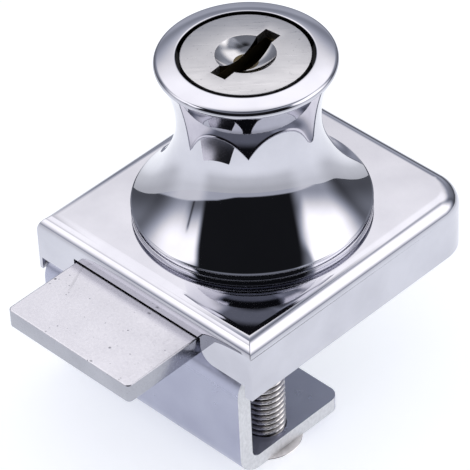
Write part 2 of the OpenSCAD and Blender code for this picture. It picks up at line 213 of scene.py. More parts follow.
def tint(tree, value, tones, start=0.3, end=0.7):
    """A colour that goes from the darker to the paler tone between two values."""
    node = add(tree, "ValToRGB", {"Fac": value})
    for element, at, colour in zip(node.color_ramp.elements, (start, end), tones):
        element.position = at
        element.color = (*colour, 1)
    return node.outputs["Color"]


def bump(tree, height, depth_mm, strength=1.0, normal=None):
    inputs = {"Height": height, "Distance": depth_mm * MM, "Strength": strength}
    if normal is not None:
        inputs["Normal"] = normal
    return add(tree, "Bump", inputs).outputs["Normal"]


def connect(tree, bsdf, **sockets):
    for key, value in sockets.items():
        tree.links.new(value, bsdf.inputs[key.replace("_", " ")])


def mixed(tree, mask, first, second):
    node = add(tree, "Mix", {"Factor": mask}, data_type="RGBA")
    tree.links.new(first, node.inputs[6])
    tree.links.new(second, node.inputs[7])
    return node.outputs[2]


def from_axis(tree):
    """Distance from the plug's axis, in metres."""
    here = add(tree, "TexCoord").outputs["Object"]
    flat = add(tree, "VectorMath", {0: here, 1: (1, 1, 0)}, operation="MULTIPLY").outputs["Vector"]
    return add(tree, "VectorMath", {0: flat}, operation="LENGTH").outputs["Value"]


def plating(name, tones, rough, peel_mm, shade_r=0.0):
    """Polished plate: faint cloudy tone, hazy patches and a slight waviness. Inside the given radius it is
    painted near-black, as shade in the bore and the recess around the face.
    """
    material, tree, bsdf = new_material(name, Metallic=1.0)
    cloud = grain(tree, 160, detail=4)
    haze = grain(tree, 420, detail=5, roughness=0.6)
    wave = grain(tree, 700, detail=2)
    tone = tint(tree, cloud, tones, 0.35, 0.65)
    # Painted shade: near-black inside the radius, where the bore and recess lie in shade
    if shade_r:
        shade_tone = tint(tree, cloud, SHADE_INSIDE, 0.35, 0.65)
        outside_shade = spread(tree, from_axis(tree), 0.0, 1.0, shade_r * MM, (shade_r + 0.03) * MM)
        tone = mixed(tree, outside_shade, shade_tone, tone)
    connect(tree, bsdf, Base_Color=tone, Roughness=spread(tree, haze, *rough),
            Normal=bump(tree, wave, peel_mm))
    return material


def satin_face():
    """Fine straight brushing over satin plate with a few stray specks, and a bright, smoother dish."""
    material, tree, bsdf = new_material("face_satin", Metallic=1.0)
    across = math.radians(-44)
    lines = grain(tree, 5200, detail=3, stretch=(0.05, 1, 1), turn=across)
    cloud = grain(tree, 300, detail=3)
    specks = grain(tree, 3200, detail=2)
    tone = mixed(tree, spread(tree, specks, 0, 1, 0.68, 0.74),
                 tint(tree, cloud, SATIN), tint(tree, cloud, SATIN_SPECK))
    flat = spread(tree, from_axis(tree), 0.0, 1.0, (DISH_R - 0.05) * MM, (DISH_R + 0.1) * MM)
    brushed = spread(tree, lines, 0.26, 0.42)
    rough = add(tree, "Mix", {"Factor": flat, "A": 0.1, "B": brushed}).outputs["Result"]
    height = add(tree, "Math", {0: lines, 1: flat}, operation="MULTIPLY").outputs["Value"]
    connect(tree, bsdf, Base_Color=tone, Roughness=rough, Normal=bump(tree, height, 0.006))
    return material


def cast_pits(tree, per_metre, most):
    """Small round pits in a few of the surface's cells."""
    cells = add(tree, "TexVoronoi", {"Vector": place(tree), "Scale": float(per_metre), "Randomness": 1.0})
    parts = add(tree, "SeparateColor", {"Color": cells.outputs["Color"]}).outputs
    size = spread(tree, parts["Green"], 0.12, 0.3, 0.0, 1.0)
    core = add(tree, "MapRange", {"Value": cells.outputs["Distance"], "From Min": 0.04, "From Max": size,
                                  "To Min": 1.0, "To Max": 0.0}).outputs["Result"]
    chosen = spread(tree, parts["Red"], 0, 1, most, most + 0.06)
    return add(tree, "Math", {0: core, 1: chosen}, operation="MULTIPLY").outputs["Value"]


def cast_plate():
    """Plated casting: soft shine over a slight grain, with small pits and a few scratches; its top is
    painted paler as lit and its sides darker as shade.
    """
    material, tree, bsdf = new_material("bolt_plate", Metallic=1.0)
    large = cast_pits(tree, 1000, 0.87)
    small = cast_pits(tree, 2300, 0.84)
    scratch = grain(tree, 700, detail=2, stretch=(0.1, 1, 1), turn=math.radians(24))
    scratch = spread(tree, scratch, 0, 0.2, 0.70, 0.76)
    pits = add(tree, "Math", {0: small, 1: 0.7, 2: large}, operation="MULTIPLY_ADD").outputs["Value"]
    marks = add(tree, "Math", {0: pits, 1: scratch}, operation="MAXIMUM", use_clamp=True).outputs["Value"]
    cloud = grain(tree, 260, detail=4)
    fine = grain(tree, 3200, detail=5, roughness=0.7)
    # Painted light: the top gets the paler tone and the sides the darker one, by how each face is turned
    up = add(tree, "SeparateXYZ", {"Vector": add(tree, "TexCoord").outputs["Normal"]}).outputs["Z"]
    side_shade_mask = spread(tree, add(tree, "Math", {0: up}, operation="ABSOLUTE").outputs["Value"], 1, 0, 0.2, 0.8)
    lit_top = tint(tree, cloud, CAST_TOP_LIT)
    shaded_side = tint(tree, cloud, CAST_SIDE_SHADED)
    dark = tint(tree, cloud, CAST_PIT)
    rough = bump(tree, fine, 0.003)
    sunk = add(tree, "Math", {0: 1.0, 1: marks}, operation="SUBTRACT").outputs["Value"]
    connect(tree, bsdf, Base_Color=mixed(tree, marks, mixed(tree, side_shade_mask, lit_top, shaded_side), dark),
            Roughness=spread(tree, fine, 0.16, 0.3),
            Normal=bump(tree, sunk, 0.02, normal=rough))
    return material


def sheet_plate():
    """Plated sheet: softly blurred on its faces, torn and striped on the sheared ends."""
    material, tree, bsdf = new_material("bracket_plate", Metallic=0.72)
    normal = add(tree, "TexCoord").outputs["Normal"]
    along = add(tree, "SeparateXYZ", {"Vector": normal}).outputs["Y"]
    along = add(tree, "Math", {0: along}, operation="ABSOLUTE").outputs["Value"]
    sheared = spread(tree, along, 0, 1, 0.86, 0.97)
    cloud = grain(tree, 200, detail=4)
    streak = grain(tree, 2600, detail=4, roughness=0.65, stretch=(1, 1, 0.7))
    face = tint(tree, cloud, SHEET_FACE)
    torn = tint(tree, streak, SHEET_TORN, 0.25, 0.65)
    smooth = spread(tree, grain(tree, 500, detail=4), 0.18, 0.28)
    depth = add(tree, "Math", {0: streak, 1: sheared}, operation="MULTIPLY").outputs["Value"]
    rough = add(tree, "Math", {0: sheared, 1: 0.28, 2: smooth}, operation="MULTIPLY_ADD").outputs["Value"]
    connect(tree, bsdf, Base_Color=mixed(tree, sheared, face, torn), Roughness=rough,
            Normal=bump(tree, depth, 0.02))
    return material


def screw_steel(name, tones, rough):
    """Plated screw: painted shade darkens the thread's roots, the socket and the tip's bore; painted
    highlight makes the crests and head bright.
    """
    material, tree, bsdf = new_material(name, Metallic=1.0)
    # The attribute read here paints light and shade: one on the crests and head, nought in the roots, socket
    # and tip bore
    height = add(tree, "Attribute", attribute_name="crest_light").outputs["Fac"]
    cloud = grain(tree, 900, detail=4)
    painted_light_level = add(tree, "Math", {0: cloud, 1: 0.35, 2: height}, operation="MULTIPLY_ADD").outputs["Value"]
    painted_light_level = spread(tree, painted_light_level, 0.0, 1.0, 0.2, 1.2)
    connect(tree, bsdf, Base_Color=tint(tree, painted_light_level, tones, 0.1, 0.9),
            Roughness=spread(tree, cloud, *rough),
            Normal=bump(tree, grain(tree, 4000), 0.004))
    return material


def machined(name, tones, rough):
    """Turned or stamped metal with fine tool marks."""
    material, tree, bsdf = new_material(name, Metallic=1.0)
    marks = grain(tree, 5000, detail=3, stretch=(0.2, 1, 1))
    cloud = grain(tree, 500, detail=3)
    connect(tree, bsdf, Base_Color=tint(tree, cloud, tones),
            Roughness=spread(tree, marks, *rough), Normal=bump(tree, marks, 0.004))
    return material


def moulded(name, tones, rough, per_metre, depth_mm):
    """Rubber or nylon with a fine moulded grain."""
    material, tree, bsdf = new_material(name)
    skin = grain(tree, per_metre, detail=4)
    cloud = grain(tree, 300, detail=3)
    connect(tree, bsdf, Base_Color=tint(tree, cloud, tones),
            Roughness=spread(tree, skin, *rough), Normal=bump(tree, skin, depth_mm))
    return material


materials = {
    "cover_chrome": plating("cover_chrome", CHROME, (0.03, 0.07), 0.0012),
    # The bell is painted near-black inside its head recess, as shade
    "bell_chrome": plating("bell_chrome", CHROME, (0.015, 0.04), 0.0006, HEAD_R + 0.02),
    "bracket_plate": sheet_plate(),
    "face_satin": satin_face(),
    "bolt_plate": cast_plate(),
    # Plug brass: painted shade, dark so the key slot reads black
    "plug_brass": machined("plug_brass", PLUG_BRASS_SHADED, (0.4, 0.55)),
    # Wafer brass: painted shade, dark so the key slot reads black
    "wafer_brass": machined("wafer_brass", WAFER_BRASS_SHADED, (0.35, 0.5)),
    "inner_steel": machined("inner_steel", INNER_STEEL, (0.25, 0.4)),
    "screw_steel": machined("screw_steel", SCREW_STEEL, (0.25, 0.4)),
    "clamp_steel": screw_steel("clamp_steel", CLAMP_STEEL, (0.14, 0.26)),
    "pad_rubber": moulded("pad_rubber", PAD_RUBBER, (0.5, 0.7), 6000, 0.01),
    "tip_plastic": moulded("tip_plastic", TIP_NYLON, (0.4, 0.55), 5000, 0.005),
}


# Mesh building blocks
def finish_piece(name, mesh, body, slot, nodes, sharp_deg=32):
    mesh.polygons.foreach_set("use_smooth", [True] * len(mesh.polygons))
    mesh.set_sharp_from_angle(angle=math.radians(sharp_deg))
    piece = bpy.data.objects.new(name, mesh)
    bpy.context.scene.collection.objects.link(piece)
    mesh.materials.clear()
    mesh.materials.append(materials[slot])
    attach(piece, body)
    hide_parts(*nodes)
    return piece


def mesh_of(name, points_mm, faces):
    mesh = bpy.data.meshes.new(name)
    mesh.from_pydata([Vector(p) * MM for p in points_mm], [], faces)
    mesh.update()
    return mesh


def arc(cx, cz, r, start_deg, end_deg, steps):
    turns = [math.radians(start_deg + (end_deg - start_deg) * i / steps) for i in range(steps + 1)]
    return [(cx + r * math.cos(t), cz + r * math.sin(t)) for t in turns]


def rings_to_mesh(name, rings, closed):
    """Rings of equal point counts, joined by quads, outside to the right of an upward run."""
    count = len(rings[0])
    points = [p for ring in rings for p in ring]
    faces = []
    for j in range(len(rings) if closed else len(rings) - 1):
        k = (j + 1) % len(rings)
        for i in range(count):
            n = (i + 1) % count
            faces.append((j * count + i, j * count + n, k * count + n, k * count + i))
    return mesh_of(name, points, faces)


def lathe_rings(profile, segments, centre=(0, 0), lift=0.0):
    rings = []
    for r, z in profile:
        rings.append([(centre[0] + r * math.cos(TAU * i / segments),
                       centre[1] + r * math.sin(TAU * i / segments), lift + z) for i in range(segments)])
    return rings


def refined(node, body, slot, width_mm, segments=3, angle_deg=40, share=None):
    """A CAD shape with its sharp edges broken, each by its share, and normals set for mirror finishes."""
    bm = bmesh.new()
    bm.from_mesh(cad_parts[node].data)
    bmesh.ops.remove_doubles(bm, verts=bm.verts, dist=1e-7)
    bmesh.ops.dissolve_limit(bm, angle_limit=math.radians(0.4), verts=bm.verts, edges=bm.edges)
    weights = bm.edges.layers.float.new("bevel_weight_edge")
    for edge in bm.edges:
        if len(edge.link_faces) == 2 and edge.calc_face_angle() > math.radians(angle_deg):
            edge[weights] = share(edge) if share else 1.0
    mesh = bpy.data.meshes.new(node + "_looks")
    bm.to_mesh(mesh)
    bm.free()
    saved_normals = mesh.attributes.get("custom_normal")
    if saved_normals:
        mesh.attributes.remove(saved_normals)
    piece = finish_piece(node + "_looks", mesh, body, slot, [node], sharp_deg=180)
    broken = piece.modifiers.new("edges", "BEVEL")
    broken.limit_method = "WEIGHT"
    broken.width = width_mm * MM
    broken.segments = segments
    broken.use_clamp_overlap = True
    broken.harden_normals = False
    flat = piece.modifiers.new("normals", "WEIGHTED_NORMAL")
    flat.weight = 100
    return piece


def cut_out(piece, lo, hi, turn=0.0):
    """Cut a box out of a piece, and bake the result."""
    mesh = bpy.data.meshes.new("cutter")
    bm = bmesh.new()
    bmesh.ops.create_cube(bm, size=1.0)
    scale = Matrix.Diagonal((*[(b - a) * MM for a, b in zip(lo, hi)], 1))
    middle = Vector([(a + b) / 2 * MM for a, b in zip(lo, hi)])
    bm.transform(Matrix.Translation(middle) @ Matrix.Rotation(turn, 4, "Z") @ scale)
    bm.to_mesh(mesh)
    bm.free()
    cutter = bpy.data.objects.new("cutter", mesh)
    bpy.context.scene.collection.objects.link(cutter)
    cut = piece.modifiers.new("cut", "BOOLEAN")
    cut.operation = "DIFFERENCE"
    cut.object = cutter
    cut.solver = "EXACT"
    graph = bpy.context.evaluated_depsgraph_get()
    baked = bpy.data.meshes.new_from_object(piece.evaluated_get(graph))
    piece.modifiers.remove(cut)
    piece.data = baked
    bpy.data.objects.remove(cutter)
    baked.set_sharp_from_angle(angle=math.radians(32))


# Bell with its base rings, hollow flank, narrow neck, flared top and crowned rim
def hollow_r(out, along, r):
    return (out ** 2 + along ** 2 - r ** 2) / (2 * (r + out))


def rim_crown(steps):
    """Rim's top from its rounded edge inwards, sloping less towards the middle."""
    inner, outer = RIM_SLOPES
    start = HEAD_R + HEAD_EDGE
    end = RIM_R - RIM_LIP * (1 - math.sin(outer))
    r = (end - start) / (math.sin(outer) - math.sin(inner))
    slopes = [outer + (inner - outer) * i / steps for i in range(steps + 1)]
    return [(start + r * (math.sin(t) - math.sin(inner)), BELL_H + r * (math.cos(t) - math.cos(inner)))
            for t in slopes]


def bell_profile():
    """Outline from the bore's foot outwards, up over the rim and down to the recess for the face."""
    crown = rim_crown(16)
    lip_x = RIM_R - RIM_LIP
    lip_z = crown[0][1] - RIM_LIP * math.cos(RIM_SLOPES[1])
    waist = math.radians(WAIST_TURN)
    waist_x = NECK_R + WAIST_R * (1 - math.cos(waist))
    waist_z = NECK_UP - WAIST_R * math.sin(waist)
    flank_out, flank_up = BELL_R - waist_x, waist_z - FOOT_Z
    foot_turn = 2 * math.atan2(flank_out, flank_up) - waist
    flank_r = flank_up / (math.sin(foot_turn) - math.sin(waist))
    flank_x = waist_x + flank_r * math.cos(waist)
    flank_z = waist_z + flank_r * math.sin(waist)
    flare_r = hollow_r(lip_x - NECK_R, lip_z - NECK_UP, RIM_LIP)
    flare_turn = math.degrees(math.atan2(lip_z - NECK_UP, NECK_R + flare_r - lip_x))
    foot_deg = math.degrees(foot_turn)
    path = [(BORE_R, 0), (BELL_R - GROOVE_EDGE, 0), (BELL_R, GROOVE_EDGE)]
    path += arc(BELL_R - RING_EDGE, RING_H - RING_EDGE, RING_EDGE, 0, 90, 6)
    path += [(GROOVE_R + GROOVE_EDGE, RING_H), (GROOVE_R, RING_H + GROOVE_EDGE)]
    path += [(GROOVE_R, FOOT_Z - GROOVE_EDGE), (GROOVE_R + GROOVE_EDGE, FOOT_Z)]
    path += arc(BELL_R - FOOT_EDGE, FOOT_Z, FOOT_EDGE, -90, foot_deg - 2, 8)
    path += arc(flank_x, flank_z, flank_r, 180 + foot_deg - 0.4, 180 + WAIST_TURN, 50)
    path += arc(NECK_R + WAIST_R, NECK_UP, WAIST_R, 180 + WAIST_TURN, 180, 40)[1:]
    path += arc(NECK_R + flare_r, NECK_UP, flare_r, 180, 180 - flare_turn, 40)[1:]
    path += arc(lip_x, lip_z, RIM_LIP, -flare_turn, 90 - math.degrees(RIM_SLOPES[1]), 20)[1:]
    path += crown[1:]
    path += arc(HEAD_R + HEAD_EDGE, BELL_H - HEAD_EDGE, HEAD_EDGE, 90, 180, 5)[1:]
    path += [(HEAD_R, BELL_H - HEAD_DEPTH), (BORE_R, BELL_H - HEAD_DEPTH)]
    return path


def wafer_room(segments, lift):
    """The bell's bore from the top down, with a wide groove on both sides for the wafers."""
    top, low, slope = WAFER_ROOM_TO, WAFER_ROOM_FROM, 0.05
    rings = []
    for z, wide in ((top + slope, False), (top, True), (low, True), (low - slope, False)):
        ring = []
        for i in range(segments):
            turn = TAU * i / segments
            r = BORE_R
            if wide:
                across = max(abs(math.sin(turn - KEY_TURN)), 0.01)
                r = min(WAFER_ROOM_R, max(BORE_R, WAFER_ROOM_HALF / across))
            ring.append((r * math.cos(turn), r * math.sin(turn), lift + z))
        rings.append(ring)
    return rings


bell_rings = lathe_rings(bell_profile(), BELL_SIDES, lift=bell_lo.z) + wafer_room(BELL_SIDES, bell_lo.z)
bell_mesh = rings_to_mesh("bell_looks", bell_rings, True)
finish_piece("bell_looks", bell_mesh, "lock_case", "bell_chrome", ["bell_housing"])


# Face of the plug: a lathed disc with a dish, cut by the key slot
def plug_face_piece():
    r = face_hi.x
    thick = face_hi.z - face_lo.z
    ball = (DISH_R ** 2 + DISH_DEPTH ** 2) / (2 * DISH_DEPTH)
    end = -math.degrees(math.asin((ball - DISH_DEPTH) / ball))
    back_r, corner = 2.2, 0.04
    profile = [(max(x, AXIS_R), z) for x, z in arc(0, ball - DISH_DEPTH, ball, -90, end, 24)]
    profile += [(DISH_R + 0.05, 0.0)]
    profile += [(r - FACE_EDGE, 0.0), (r - corner, -corner), (r, -FACE_EDGE)]
    profile += [(r, -thick), (r - SKIRT_T, -thick), (r - SKIRT_T, -FACE_T)]
    profile += [(back_r, -FACE_T), (AXIS_R, -DISH_DEPTH - 0.2)]
    profile.reverse()
    mesh = rings_to_mesh("plug_face_looks", lathe_rings(profile, 192, lift=face_hi.z), True)
    piece = finish_piece("plug_face_looks", mesh, "plug", "face_satin", ["plug_face"])
    half = Vector((KEY_LEN / 2, KEY_W / 2, KEY_CUT_DEPTH))
    middle = Vector((0, 0, face_hi.z))
    cut_out(piece, middle - half, middle + half, KEY_TURN)


plug_face_piece()


# Clamp screws with a real thread, a domed head and a hexagon socket
def hexagon(scale):
    """Radius of the socket's outline at an angle."""
    def radius_at(t):
        return scale * HEX_ACROSS / 2 / math.cos((t + math.pi / 6) % (math.pi / 3) - math.pi / 6)
    return radius_at


def thread_at(turn, up, left):
    """Radius and height of crest at a share of a turn, a way up from the head and a way left to the tip; the
    height also sets the painted light, lit on the crest and shaded in the root.
    """
    away = abs(2 * ((up / THREAD_PITCH - turn) % 1.0) - 1)
    sink = min(max((away - CREST_FLAT) / THREAD_FLANK, 0), 1)
    fade = min(1, up / THREAD_RUNOUT)
    taper = max(0, POINT_LEN - left) * 0.9
    r = min(THREAD_R - THREAD_DEPTH * sink * fade, THREAD_R - taper)
    return r, (1 - sink) * (1 - 0.3 * (taper > 0))


def clamp_screw_piece(number):
    low, high = box_mm(f"clamp_screw_{number}")
    centre = ((low.x + high.x) / 2, (low.y + high.y) / 2)
    z_seat = low.z + SCREW_HEAD_H
    ball = (SCREW_HEAD_R ** 2 + SCREW_HEAD_H ** 2) / (2 * SCREW_HEAD_H)
    z_ball = low.z + ball
    rings, crest_lights = [], []

    def ring(radius_at, z, crest_light=0.0):
        points = []
        for i in range(SCREW_SIDES):
            t = TAU * i / SCREW_SIDES
            r = radius_at(t) if callable(radius_at) else radius_at
            points.append((centre[0] + r * math.cos(t), centre[1] + r * math.sin(t), z))
        rings.append(points)
        crest_lights.extend([crest_light] * SCREW_SIDES)

    # Socket and domed head
    floor_z = low.z + HEX_DEPTH
    lip_r = HEX_ACROSS / (2 * math.cos(math.radians(30))) + HEX_LIP
    dome_z = z_ball - math.sqrt(ball ** 2 - lip_r ** 2)
    # Third values paint light: nought as shade in the socket, near one as highlight on the lip and dome
    ring(2 * AXIS_R, floor_z + 0.25)
    ring(hexagon(0.99), floor_z)
    ring(hexagon(1.0), floor_z - 0.02)
    ring(hexagon(1.0), dome_z + HEX_LIP)
    ring(lip_r, dome_z, 0.9)
    for i in range(1, DOME_STEPS + 1):
        r = lip_r + (SCREW_HEAD_R - 0.08 - lip_r) * i / DOME_STEPS
        ring(r, z_ball - math.sqrt(ball ** 2 - r ** 2), 1.0)
    ring(SCREW_HEAD_R - 0.01, z_seat - SCREW_HEAD_EDGE, 1.0)
    ring(SCREW_HEAD_R - SCREW_HEAD_EDGE, z_seat, 1.0)
    ring(THREAD_R + 0.05, z_seat, 0.1)

    # Thread
    run = high.z - z_seat
    rows = int(run / THREAD_PITCH * ROWS_PER_TURN)
    # Painted light along the thread: lit on the crests, shaded in the roots
    for k in range(rows + 1):
        z = z_seat + run * k / rows
        points = []
        for i in range(SCREW_SIDES):
            t = TAU * i / SCREW_SIDES
            r, crest_light = thread_at(i / SCREW_SIDES, z - z_seat, high.z - z)
            points.append((centre[0] + r * math.cos(t), centre[1] + r * math.sin(t), z))
            crest_lights.append(crest_light)
        rings.append(points)

    # Bore for the nylon tip
    # Painted shade down the bore
    ring(TIP_BORE_R, high.z, 0.3)
    ring(TIP_BORE_R, high.z - TIP_BORE_DEPTH, 0.0)
    ring(2 * AXIS_R, high.z - TIP_BORE_DEPTH - 0.1, 0.0)
    mesh = rings_to_mesh(f"clamp_screw_{number}_looks", rings, False)
    attribute = mesh.attributes.new("crest_light", "FLOAT", "POINT")
    attribute.data.foreach_set("value", crest_lights)
    finish_piece(f"clamp_screw_{number}_looks", mesh, f"clamp_{number}", "clamp_steel",
                 [f"clamp_screw_{number}"], sharp_deg=40)


for number in (1, 2):
    clamp_screw_piece(number)


# Nylon tips: a soft-edged disc on a stem
def screw_tip_piece(number):
    low, high = box_mm(f"screw_tip_{number}")
    centre = ((low.x + high.x) / 2, (low.y + high.y) / 2)
    r = (high.x - low.x) / 2
    stem_r, stem_edge = 1.0, 0.15
    disc_z = high.z - 0.6
    under, over = 0.1, 0.2
    profile = [(AXIS_R, low.z), (stem_r - stem_edge, low.z), (stem_r, low.z + stem_edge), (stem_r, disc_z)]
    profile += [(r - under, disc_z)]
    profile += arc(r - under, disc_z + under, under, -90, 0, 4)
    profile += arc(r - over, high.z - over, over, 0, 90, 6)
    profile += [(AXIS_R, high.z)]
    mesh = rings_to_mesh(f"screw_tip_{number}_looks", lathe_rings(profile, 64, centre), False)
    finish_piece(f"screw_tip_{number}_looks", mesh, f"tip_{number}", "tip_plastic", [f"screw_tip_{number}"])


for number in (1, 2):
    screw_tip_piece(number)


# Wafer springs: wound wire in place of the plain tubes
def spring_piece(number):
    node = f"wafer_spring_{number}"
    mesh_points = [v.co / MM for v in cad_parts[node].data.vertices]
    middle = sum(mesh_points, Vector()) / len(mesh_points)
    along = Vector((math.cos(KEY_TURN), math.sin(KEY_TURN), 0))
    across = Vector((-along.y, along.x, 0))
    reach = [(p - middle).dot(along) for p in mesh_points]
    start = min(reach) + WIRE_R
    length = max(reach) - min(reach) - 2 * WIRE_R
    steps = SPRING_TURNS * STEPS_PER_TURN
    around = [TAU * i / WIRE_SIDES for i in range(WIRE_SIDES)]
    rings = []
    for k in range(steps + 1):
        t = TAU * SPRING_TURNS * k / steps
        out = across * math.cos(t) + Vector((0, 0, 1)) * math.sin(t)
        centre = middle + along * (start + length * k / steps) + out * (SPRING_R - WIRE_R)
        rings.append([tuple(centre + (out * math.cos(a) + along * math.sin(a)) * WIRE_R) for a in around])
    mesh = rings_to_mesh(node + "_looks", rings, False)
    finish_piece(node + "_looks", mesh, "plug", "inner_steel", [node])


for number in range(1, 6):
    spring_piece(number)


# Bolt: a rounded plate with soft edges, cut by the slot that the crank pin works in
def rounded_outline(x0, x1, y0, y1, radii, steps):
    """Outline anticlockwise from the lower left, with one radius for each corner."""
    corners = [(x0, y0, 1, 1, 180), (x1, y0, -1, 1, 270), (x1, y1, -1, -1, 0), (x0, y1, 1, -1, 90)]
    points = []
    for (x, y, right, up, start), r in zip(corners, radii):
        points += arc(x + right * r, y + up * r, r, start, start + 90, steps)
    return points


def soft_plate(name, outline_at, z0, z1, edge):
    """Plate between two heights with rounded edges and flat, evenly shaded faces."""
    steps = 5
    rim = [(edge - x, z) for x, z in arc(0, 0, edge, 0, 90, steps)]
    low = [(x, z0 + edge - z) for x, z in reversed(rim)]
    high = [(x, z1 - edge + z) for x, z in rim]
    inner = 0.02
    levels = [(edge + inner, z0)] + low + high + [(edge + inner, z1)]
    rings = [[(x, y, z) for x, y in outline_at(inset)] for inset, z in levels]
    count = len(rings[0])
    mesh = rings_to_mesh(name, rings, False)
    bm = bmesh.new()
    bm.from_mesh(mesh)
    bm.verts.ensure_lookup_table()
    bm.faces.new([bm.verts[i] for i in reversed(range(count))])
    bm.faces.new([bm.verts[len(bm.verts) - count + i] for i in range(count)])
    bm.to_mesh(mesh)
    bm.free()
    return mesh


def bolt_piece():
    lo, hi = box_mm("bolt")

    def outline_at(inset):
        radii = [r - inset for r in (BOLT_TAIL_R, BOLT_TIP_R, BOLT_TIP_R, BOLT_TAIL_R)]
        return rounded_outline(lo.x + inset, hi.x - inset, lo.y + inset, hi.y - inset, radii, 10)

    mesh = soft_plate("bolt_looks", outline_at, lo.z, hi.z, BOLT_EDGE)
    piece = finish_piece("bolt_looks", mesh, "bolt", "bolt_plate", ["bolt"])
    cut_out(piece, (CRANK_R - SLOT_HALF, -CRANK_R - SLOT_END, lo.z - 1),
            (CRANK_R + SLOT_HALF, SLOT_END, hi.z + 1))


bolt_piece()


# Pieces that keep their CAD shape, with broken edges
LEAST_SHARE = 0.35


def cover_share(edge):
    """The upright front corners are rounded most, the mitres above them less, all other edges least."""
    middle = (edge.verts[0].co + edge.verts[1].co) / 2 / MM
    at_front = cover_hi.x - middle.x
    at_side = cover_hi.y - abs(middle.y)
    if abs(at_front - at_side) > 0.02 or middle.z < cover_lo.z + 0.1:
        return LEAST_SHARE
    return 1.0 if at_front < 0.02 else 0.5


def bracket_share(edge):
    """The sheet's outer side is drawn round where it was sheared."""
    inside = Vector((10, 0, -5.4)) * MM
    ends = [f for f in edge.link_faces if abs(f.normal.y) > 0.9]
    sides = [f for f in edge.link_faces if abs(f.normal.y) <= 0.9]
    if len(ends) != 1 or len(sides) != 1:
        return LEAST_SHARE
    away = sides[0].calc_center_median() - inside
    away.y = 0
    return 1.0 if away.dot(sides[0].normal) > 0 else LEAST_SHARE


refined("cover", "lock_case", "cover_chrome", 0.42, segments=4, share=cover_share)
refined("clamp_bracket", "lock_case", "bracket_plate", 0.4, segments=4, share=bracket_share)
refined("glass_pad", "lock_case", "pad_rubber", 0.08)
refined("plug", "plug", "plug_brass", 0.06, segments=2)
refined("crank_disc", "plug", "inner_steel", 0.12)
refined("crank_pin", "plug", "inner_steel", 0.15)
refined("turn_stop_pin", "lock_case", "inner_steel", 0.08)
for number in range(1, 6):
    refined(f"wafer_{number}", f"wafer_{number}", "wafer_brass", 0.05, segments=2)
for node, body in (("bell_screws", "lock_case"), ("bracket_screws", "lock_case"), ("crank_screw", "plug")):
    refined(node, body, "screw_steel", 0.04, segments=2)


# Studio: a white floor and a light tent that only the metal sees
FLOOR_Z = object_lo.z * MM - 0.0001
FLOOR_R = 0.38
FLOOR_SHORT = 0.18
FLOOR_HOLE = 0.002
FLOOR_SIDES = 128
FLOOR_RINGS = 48
FLOOR_LIFT = 0.49
WORLD_LIGHT = 0.85
TENT_R = 0.9
TENT_Z = 0.012
DIM_TINT = (0.91, 0.96, 1.12)
BRIGHT_TINT = (1.0, 0.985, 1.0)
FLOOR_TINT = (0.965, 0.985, 1.03)
FLOOR_TONE = 0.78
TENT_COLUMNS = 360
TENT_ROWS = 170
TENT_FROM = -12.0

# Azimuths at which a part of the tent begins, is full, fades and ends, in degrees
RIGHT_BOX = (92, 108, 138, 164)
LEFT_BOX = (284, 318, 342, 349)
RIGHT_FLOOR = (92, 115, 135, 165)
LEFT_FLOOR = (285, 312, 335, 352)
SHORT_FLOOR = (130, 165, 250, 285)
OPEN_CEILING = (100, 130, 310, 335)
STAND = 332.5
STAND_W = 1.3
DARKEST = 0.012


def smooth_step(value, start, end):
    t = min(max((value - start) / (end - start), 0), 1)
    return t * t * (3 - 2 * t)


def between(value, rise_from, full_from, full_to, fall_to):
    return smooth_step(value, rise_from, full_from) * (1 - smooth_step(value, full_to, fall_to))


def beside(azimuth):
    """One in front of either soft box, nought elsewhere."""
    return between(azimuth, *RIGHT_FLOOR) + between(azimuth, *LEFT_FLOOR)


def sheet_edge(azimuth):
    """Elevation at which the pale sheet under the object ends: high towards the camera, low behind."""
    if azimuth < 180:
        return 2.5 - 3.2 * smooth_step(azimuth, 0, 30) - 7.9 * smooth_step(azimuth, 95, 170)
    return -8.6 + 11.1 * smooth_step(azimuth, 245, 335)


def right_box(a, e):
    """Soft box on the right, slanting towards the dark side."""
    slant = 10 * (1 - smooth_step(a, 98, 112))
    level = 0.45 + 1.35 * smooth_step(e - slant, -2, 18)
    shade = 0.75 * smooth_step(e, 45 - 1.6 * slant, 56 - 1.6 * slant)
    return between(a, *RIGHT_BOX) * level * (1 - shade)


def left_box(a, e):
    """Soft box on the left with a slanting top, and the thin stand in front of it."""
    inner = smooth_step(a, 322, 334)
    level = 0.45 - 0.25 * inner + (1.3 + 0.25 * inner) * smooth_step(e - 4 * inner, 0, 26)
    top = 30 + 13 * smooth_step(a, 300, 330)
    stand = math.exp(-((a - STAND) / STAND_W) ** 2) * (1 - smooth_step(e, 17, 24))
    return between(a, *LEFT_BOX) * level * (1 - smooth_step(e, top - 4, top + 5)) * (1 - 0.9 * stand)


def back_wall(a, e):
    """Wall behind the object: dim below, pale above, and wider there."""
    wider = 30 * smooth_step(e, 26, 40)
    level = 0.1 + 0.15 * smooth_step(e, -4, 12) + 0.1 * smooth_step(e, 12, 28) + 1.2 * smooth_step(e, 26, 46)
    level += 0.25 * between(a, 185, 210, 236, 255) * between(e, 6, 11, 20, 26)
    return level * between(a, 146, 176, 276 + wider, 304 + wider)


def tent_glow(azimuth, elevation):
    """Brightness of the tent: dark on the camera's side, a soft box on both sides of it, pale behind."""
    a, e = azimuth % 360, elevation
    sides = right_box(a, e) + left_box(a, e) + back_wall(a, e)
    ceiling = 0.25 * between(e, 52, 62, 74, 86) * (1 - between(a, *OPEN_CEILING))
    glow = DARKEST + sides * (1 - 0.85 * smooth_step(e, 60, 78)) + ceiling
    sheet = 0.58 + 0.3 * beside(a)
    edge = sheet_edge(a)
    return sheet + (glow - sheet) * smooth_step(e, edge - 0.4, edge + 0.4)


